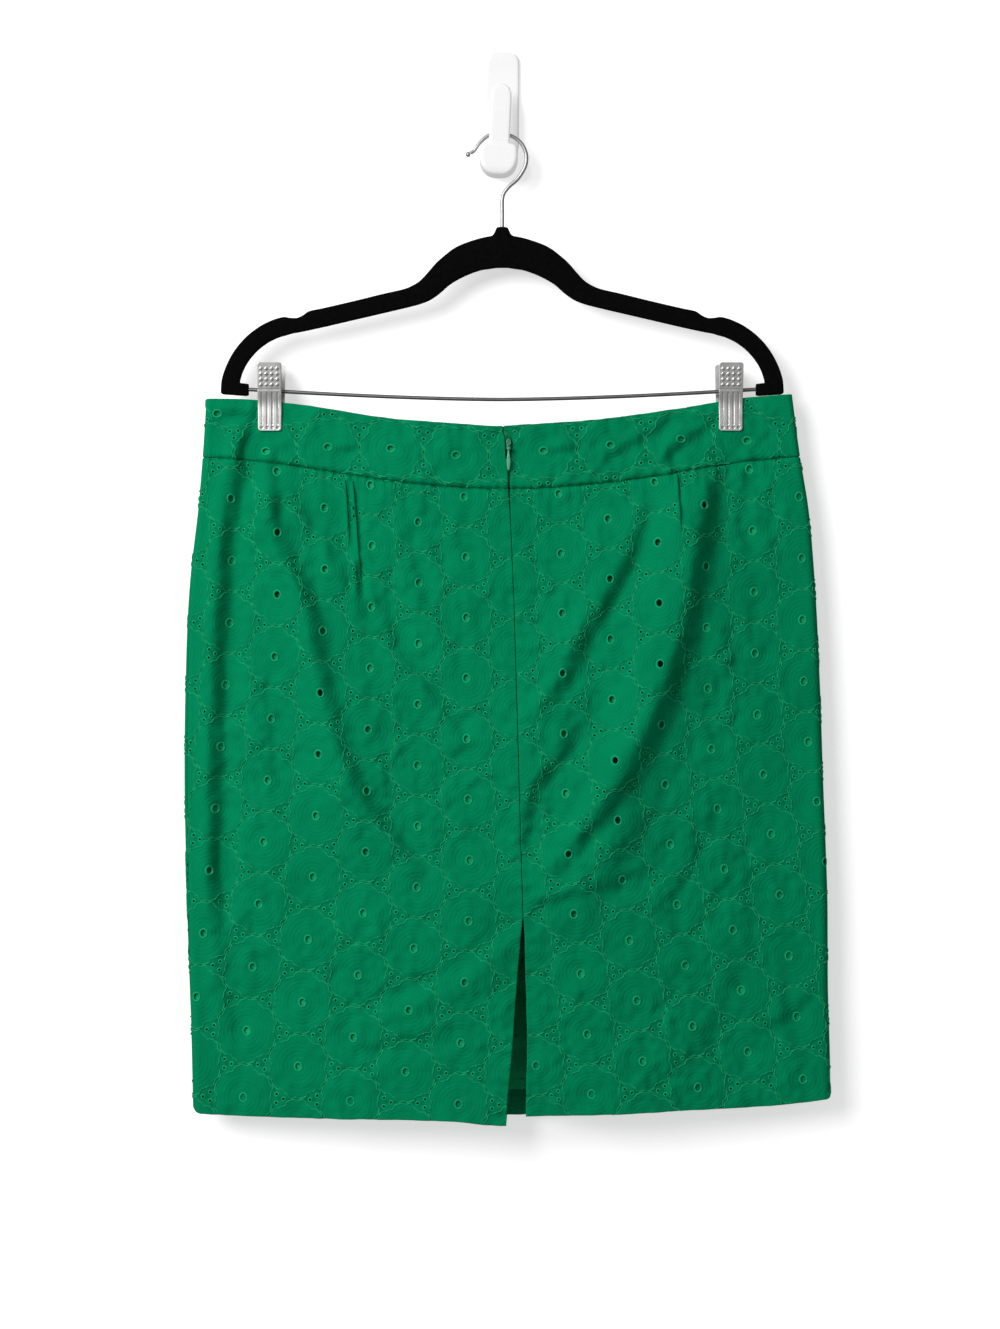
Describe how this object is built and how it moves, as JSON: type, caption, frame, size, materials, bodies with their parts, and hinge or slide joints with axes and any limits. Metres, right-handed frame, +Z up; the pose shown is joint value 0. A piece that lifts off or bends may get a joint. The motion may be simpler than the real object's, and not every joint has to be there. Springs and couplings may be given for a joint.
{
  "type": "pencil skirt on a clip hanger and wall hook",
  "caption": "Knee-length pencil skirt of eyelet cotton with a waistband, back zip and back slit, held by a clip hanger that hangs on a stick-on wall hook.",
  "frame": {"origin": "the flat back face of the wall hook's plate, where it sticks to the wall, 34.5 mm under the plate's top", "axes": "+Z up, +Y into the wall, so the skirt's back with its zip and slit faces -Y, +X to the right of a viewer who faces the wall"},
  "size_m": [0.5147, 0.0478, 0.8562],
  "materials": {
    "eyelet_cotton": "matt green cotton with satin-stitched eyelets",
    "lining_cloth": "plain green lining with a slight sheen",
    "zip_tape": "woven green tape",
    "zip_metal": "green lacquer",
    "flocked_plastic": "black flock",
    "steel_wire": "bright plated wire",
    "clip_steel": "bright plated sheet",
    "white_plastic": "gloss white"
  },
  "bodies": {
    "skirt_and_hanger": {"front_panel": "eyelet_cotton", "back_panel_left": "eyelet_cotton", "back_panel_right": "eyelet_cotton", "waistband_front": "eyelet_cotton", "waistband_back_left": "eyelet_cotton", "waistband_back_right": "eyelet_cotton", "inner_band_front": "lining_cloth", "inner_band_back_left": "lining_cloth", "inner_band_back_right": "lining_cloth", "lining_front": "lining_cloth", "lining_back_left": "lining_cloth", "lining_back_right": "lining_cloth", "zip_tape_left": "zip_tape", "zip_tape_right": "zip_tape", "zip_slider": "zip_metal", "hanger_body": "flocked_plastic", "hanger_hook": "steel_wire", "hook_tip": "steel_wire", "trouser_bar": "steel_wire", "clip_left_front_jaw": "clip_steel", "clip_left_back_jaw": "clip_steel", "clip_left_spring": "clip_steel", "clip_right_front_jaw": "clip_steel", "clip_right_back_jaw": "clip_steel", "clip_right_spring": "clip_steel", "wall_hook": "white_plastic"},
    "pull_tab": {"zip_pull": "zip_metal"}
  },
  "joints": [
    {"name": "pull_tab_hinge", "type": "hinge", "parent": "skirt_and_hanger", "child": "pull_tab", "pos_m": [0.0056, -0.0318, -0.2859], "axis": [-1, 0, 0], "range_deg": [0, 175]}
  ]
}
